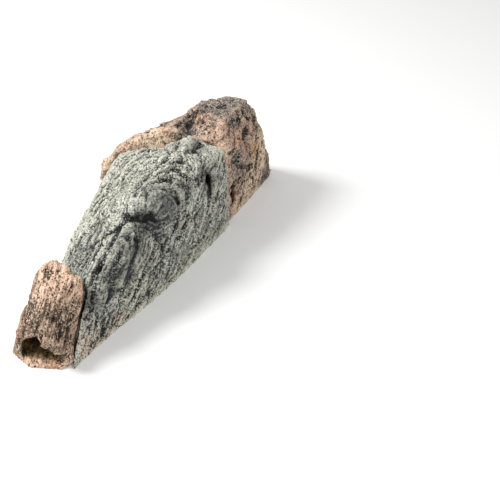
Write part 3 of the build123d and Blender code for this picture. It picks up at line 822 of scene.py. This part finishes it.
block.weather(stone_weather, block_paint.material, **{
    "Bed Length": 0.030, "Bed Pitch": 0.0090, "Bed Depth": 0.0014, "Step Pitch": 0.024,
    "Step Depth": 0.0056, "Lump Size": 0.028, "Lump Depth": 0.0050, "Crack Size": 0.040,
    "Crack Depth": 0.0026, "Pit Size": 0.009, "Pit Depth": 0.0014, "Grain Size": 0.0046,
    "Grain Depth": 0.0004, "Seed": 14.0,
})
block.stain()
block.finish("root", "granite_resin", "block_shell")


# ---------------------------------------------------------------- boulder with the cave mouth
# The low loaf at the near end: the third hollow resin casting. Its mouth is the way into the cave,
# with a pink lip along the base and a lump hanging beside it. Bonded over the foot of the ridge.

# The knobs are the lump that hangs in the mouth and the filled end beside it.
boulder = StoneSkin("boulder_shell", "boulder_stone", cell=1.25, neighbours=("gneiss_shell",), knobs=(
    ((-245, -53, 35), (9, 12, 11)), ((-241, -62, 27), (9, 9, 11)), ((-238, -48, 45), (12, 12, 9)),
    ((-230, -65, 17), (9, 9, 16)), ((-233, -70, 8), (8, 6, 8)),
))
boulder.relax(10)
x, y, z = boulder.points.T
boulder.swell((-226, 2, 42), (24, 16, 22), 3.5)
boulder.swell((-196, 22, 56), (24, 16, 22), 3.0)
boulder.swell((-185, -50, 70), (16, 16, 14), 4.0)
boulder.swell((-176, -36, 74), (9, 10, 10), 5.0)
boulder.swell((-188, -20, 80), (12, 12, 10), -2.5)
boulder.groove([(-240, -38, 48), (-247, -44, 42), (-254, -48, 32), (-255, -50, 22)], 2.4, 4.0)
boulder.groove([(-234, -42, 54), (-244, -50, 48), (-250, -57, 38), (-249, -63, 27)], 1.9, -2.6)
boulder.groove([(-240, -46, 50), (-250, -50, 44), (-254, -52, 34), (-250, -52, 26)], 1.7, -2.2)
boulder.groove([(-240, -56, 47), (-248, -60, 38), (-252, -56, 32), (-253, -50, 36)], 1.7, -2.2)
boulder.groove([(-236, -60, 42), (-242, -66, 34), (-243, -70, 24), (-238, -74, 12)], 2.0, -2.6)
boulder.groove([(-238, -52, 50), (-248, -56, 43), (-252, -59, 32)], 1.6, 2.6)
boulder.groove([(-238, -60, 44), (-246, -66, 32), (-245, -68, 22)], 1.6, 2.6)
boulder.groove([(-246, -44, 46), (-253, -47, 38), (-254, -47, 30)], 1.6, 2.2)
boulder.groove([(-181, -44, 72), (-189, -54, 62), (-199, -61, 48), (-212, -67, 32), (-226, -72, 14)],
               3.2, -3.4)
boulder.groove([(-190, -30, 76), (-206, -40, 68), (-222, -48, 52), (-234, -52, 44)], 3.0, 3.6)
boulder.groove([(-190, -48, 74), (-200, -56, 62), (-212, -61, 50), (-224, -64, 40)], 2.6, 4.6)
boulder.groove([(-194, -12, 76), (-212, -20, 66), (-232, -28, 50), (-246, -36, 38)], 2.8, 3.4)
boulder.groove([(-200, 2, 70), (-220, -6, 56), (-240, -14, 40)], 3.0, -2.0)
boulder.groove([(-206, 14, 50), (-222, 4, 42), (-240, -8, 28)], 3.0, 2.8)
boulder.carve()
boulder.relax(1)
x, y, z = boulder.points.T
fall = np.array((-0.72, -0.16, -0.68))
across_fall = np.cross(fall, (0.15, 0.2, -0.45))
across_fall /= np.linalg.norm(across_fall)
boulder.store("lay", np.stack((boulder.points @ fall, boulder.points @ across_fall, 0.5 * z), axis=1) * mm)
boulder.store("bedded", np.ones(len(z)))
boulder.store("rim", fade(z, 60.0, 8.0) + boulder.patch([
    ((-254, -36, 3), 12), ((-188, -54, 62), 9), ((-199, -62, 47), 7), ((-212, -67, 32), 7),
    ((-224, -71, 18), 7), ((-236, -74, 3), 9),
]))
boulder.store("rust", boulder.patch([((-238, 2, 34), 17), ((-246, -60, 3), 8), ((-200, 40, 24), 22)]))
boulder.store("ash", boulder.patch([
    ((-206, -50, 50), 26), ((-222, -10, 54), 22), ((-238, -20, 36), 20), ((-214, 44, 40), 16),
    ((-248, -56, 36), 15), ((-232, 14, 34), 16), ((-200, 30, 54), 14), ((-226, -56, 42), 18),
]))

boulder_paint = Paint("hand painted boulder")
cloud = boulder_paint.noise(24, 51.0, 3.0, 0.6)
smudge = boulder_paint.noise(1000.0, 52.0, 3.0, 0.65, boulder_paint.stretched(0.018, 0.006))
ground = boulder_paint.chart(cloud, (0.38, tint(76, 67, 55)), (0.5, tint(100, 88, 71)),
                             (0.62, tint(124, 106, 85)))
patchy = boulder_paint.span(smudge, 0.36, 0.52, 0.5, 1.0)
for place_name, strength, colour in (
    ("ash", 0.8, tint(74, 62, 52)), ("rust", 0.85, tint(190, 122, 80)), ("rim", 0.92, tint(238, 200, 174)),
):
    share = boulder_paint.maths("MULTIPLY", boulder_paint.kept(place_name), patchy)
    ground = boulder_paint.mix(boulder_paint.maths("MULTIPLY", share, strength), ground, colour)
ground = boulder_paint.mix(boulder_paint.span(smudge, 0.47, 0.37, 0.0, 0.5), ground, tint(72, 56, 46))
streak = boulder_paint.noise(1000.0, 55.0, 3.0, 0.6, boulder_paint.stretched(0.022, 0.0022))
ground = boulder_paint.mix(boulder_paint.span(streak, 0.47, 0.38, 0.0, 0.6), ground, tint(76, 57, 46))
ground = boulder_paint.mix(boulder_paint.span(streak, 0.54, 0.63, 0.0, 0.5), ground, tint(214, 176, 152))
ground = boulder_paint.wear(ground, tint(40, 30, 22), tint(220, 186, 158), 1.35, 0.36)
ground, boulder_grit = boulder_paint.speckle(ground, tint(36, 27, 22), tint(222, 196, 174), 1.2, drift=smudge)
cave = boulder_paint.chart(smudge, (0.38, tint(38, 30, 18)), (0.5, tint(104, 82, 46)),
                           (0.6, tint(160, 132, 80)))
cave, _ = boulder_paint.speckle(cave, tint(14, 11, 8), tint(150, 128, 80), 1.2)
ground = boulder_paint.mix(boulder_paint.maths("MINIMUM", boulder_paint.kept("inner"), 0.96), ground, cave)
boulder_paint.lacquer(ground, boulder_grit)

boulder.weather(stone_weather, boulder_paint.material, **{
    "Bed Length": 0.050, "Bed Pitch": 0.0048, "Bed Depth": 0.0015, "Step Pitch": 0.011,
    "Step Depth": 0.0018, "Lump Size": 0.022, "Lump Depth": 0.0022, "Crack Size": 0.026,
    "Crack Depth": 0.0012, "Pit Size": 0.006, "Pit Depth": 0.0007, "Grain Size": 0.0034,
    "Grain Depth": 0.0004, "Seed": 31.0,
})
boulder.stain()
boulder.finish("root", "boulder_resin", "boulder_shell")


# ---------------------------------------------------------------- seam putty
# Two beads of two-part epoxy putty, pressed into the joints by hand while soft and set hard. They
# bond the block and the boulder to the ridge and lie sunk in a dark groove. The boulder's bead is
# thickened where it thins out at the joint's corner.

putty_paint = Paint("set epoxy putty")
knead = putty_paint.noise(7, 71.0, 4.0, 0.65)
ground = putty_paint.chart(knead, (0.34, tint(34, 30, 26)), (0.5, tint(58, 52, 45)), (0.68, tint(84, 77, 66)))
ground = putty_paint.wear(ground, tint(16, 14, 12), tint(104, 96, 84), 0.9, 0.4)
ground, putty_grit = putty_paint.speckle(ground, tint(20, 18, 16), tint(120, 112, 100), 1.5, 0.2, 0.08)
putty_paint.lacquer(ground, putty_grit, (0.55, 0.8), 0.6, 0.4)

corner = ((-175.8, -54.8, 18), (2.2, 1.1, 12))
for node, thickened in (("block_seam_putty", ()), ("boulder_seam_putty", (corner,))):
    bead = StoneSkin(node, node.replace("putty", "bead"), cell=0.95, neighbours=(), knobs=thickened)
    bead.store("lay", bead.points * mm)
    bead.store("bedded", np.zeros(len(bead.points)))
    bead.weather(stone_weather, putty_paint.material, **{
        "Bed Depth": 0.0, "Step Depth": 0.0, "Lump Size": 0.012, "Lump Depth": 0.0003,
        "Crack Depth": 0.0, "Pit Size": 0.004, "Pit Depth": 0.0004, "Grain Size": 0.003,
        "Grain Depth": 0.0002, "Seed": 47.0,
    })
    bead.stain()
    bead.finish("root", "putty", node)


# ---------------------------------------------------------------- ballast
# Three strips of sand-filled resin, cast inside the stones just above the rim and bonded to the
# inner walls. They keep the hollow rock down; rough, grey and unpainted, seen only from below.

ballast_paint = Paint("sand-filled resin")
cloud = ballast_paint.noise(14, 81.0, 4.0, 0.6)
ground = ballast_paint.chart(cloud, (0.34, tint(112, 110, 104)), (0.52, tint(142, 139, 131)),
                             (0.68, tint(164, 160, 150)))
ground = ballast_paint.wear(ground, tint(58, 56, 52), tint(186, 182, 172), 0.8, 0.5)
ground, ballast_grit = ballast_paint.speckle(ground, tint(70, 68, 64), tint(206, 202, 192), 2.4, 0.12, 0.1)
ballast_paint.lacquer(ground, ballast_grit, (0.8, 0.97))

for node in ("front_ballast", "back_ballast", "block_ballast"):
    bar = StoneSkin(node, node.replace("ballast", "weight"), cell=1.7, neighbours=())
    bar.store("lay", bar.points * mm)
    bar.store("bedded", np.zeros(len(bar.points)))
    bar.weather(stone_weather, ballast_paint.material, **{
        "Bed Depth": 0.0, "Step Depth": 0.0, "Lump Size": 0.02, "Lump Depth": 0.0003,
        "Crack Depth": 0.0, "Pit Size": 0.006, "Pit Depth": 0.0010, "Grain Size": 0.004,
        "Grain Depth": 0.0002, "Seed": 53.0,
    })
    bar.stain()
    bar.finish("root", "ballast", node)


# ---------------------------------------------------------------- studio
# A plain white sheet under the ornament, a white room round it, a large soft lamp high up behind
# and to the left, and a weak one in front to open the shadows.

floor_mesh = bpy.data.meshes.new("studio_floor")
reach = 4.0
corners = [(-reach, -reach, 0.0), (reach, -reach, 0.0), (reach, reach, 0.0), (-reach, reach, 0.0)]
floor_mesh.from_pydata(corners, [], [(0, 1, 2, 3)])
floor = bpy.data.objects.new("studio_floor", floor_mesh)
bpy.context.scene.collection.objects.link(floor)
paper = bpy.data.materials.new("white paper")
paper.use_nodes = True
paper_shader = paper.node_tree.nodes["Principled BSDF"]
paper_shader.inputs["Base Color"].default_value = (0.93, 0.93, 0.92, 1.0)
paper_shader.inputs["Roughness"].default_value = 0.9
floor_mesh.materials.append(paper)

room = bpy.data.worlds.new("white room")
room.use_nodes = True
room_light = room.node_tree.nodes["Background"]
room_light.inputs["Color"].default_value = (1.0, 1.0, 1.0, 1.0)
room_light.inputs["Strength"].default_value = 0.56
bpy.context.scene.world = room


def soft_lamp(name, stands, points_at, width, watts):
    data = bpy.data.lights.new(name, "AREA")
    data.shape = "DISK"
    data.size = width
    data.energy = watts
    lamp = bpy.data.objects.new(name, data)
    bpy.context.scene.collection.objects.link(lamp)
    lamp.location = stands
    lamp.rotation_mode = "QUATERNION"
    lamp.rotation_quaternion = (Vector(stands) - Vector(points_at)).to_track_quat("Z", "Y")


ornament_middle = (0.0, 0.0, 0.05)
soft_lamp("back lamp", (-0.7, 1.5, 1.5), ornament_middle, width=0.9, watts=56.0)
soft_lamp("front lamp", (-0.9, -1.8, 1.4), ornament_middle, width=1.4, watts=14.0)
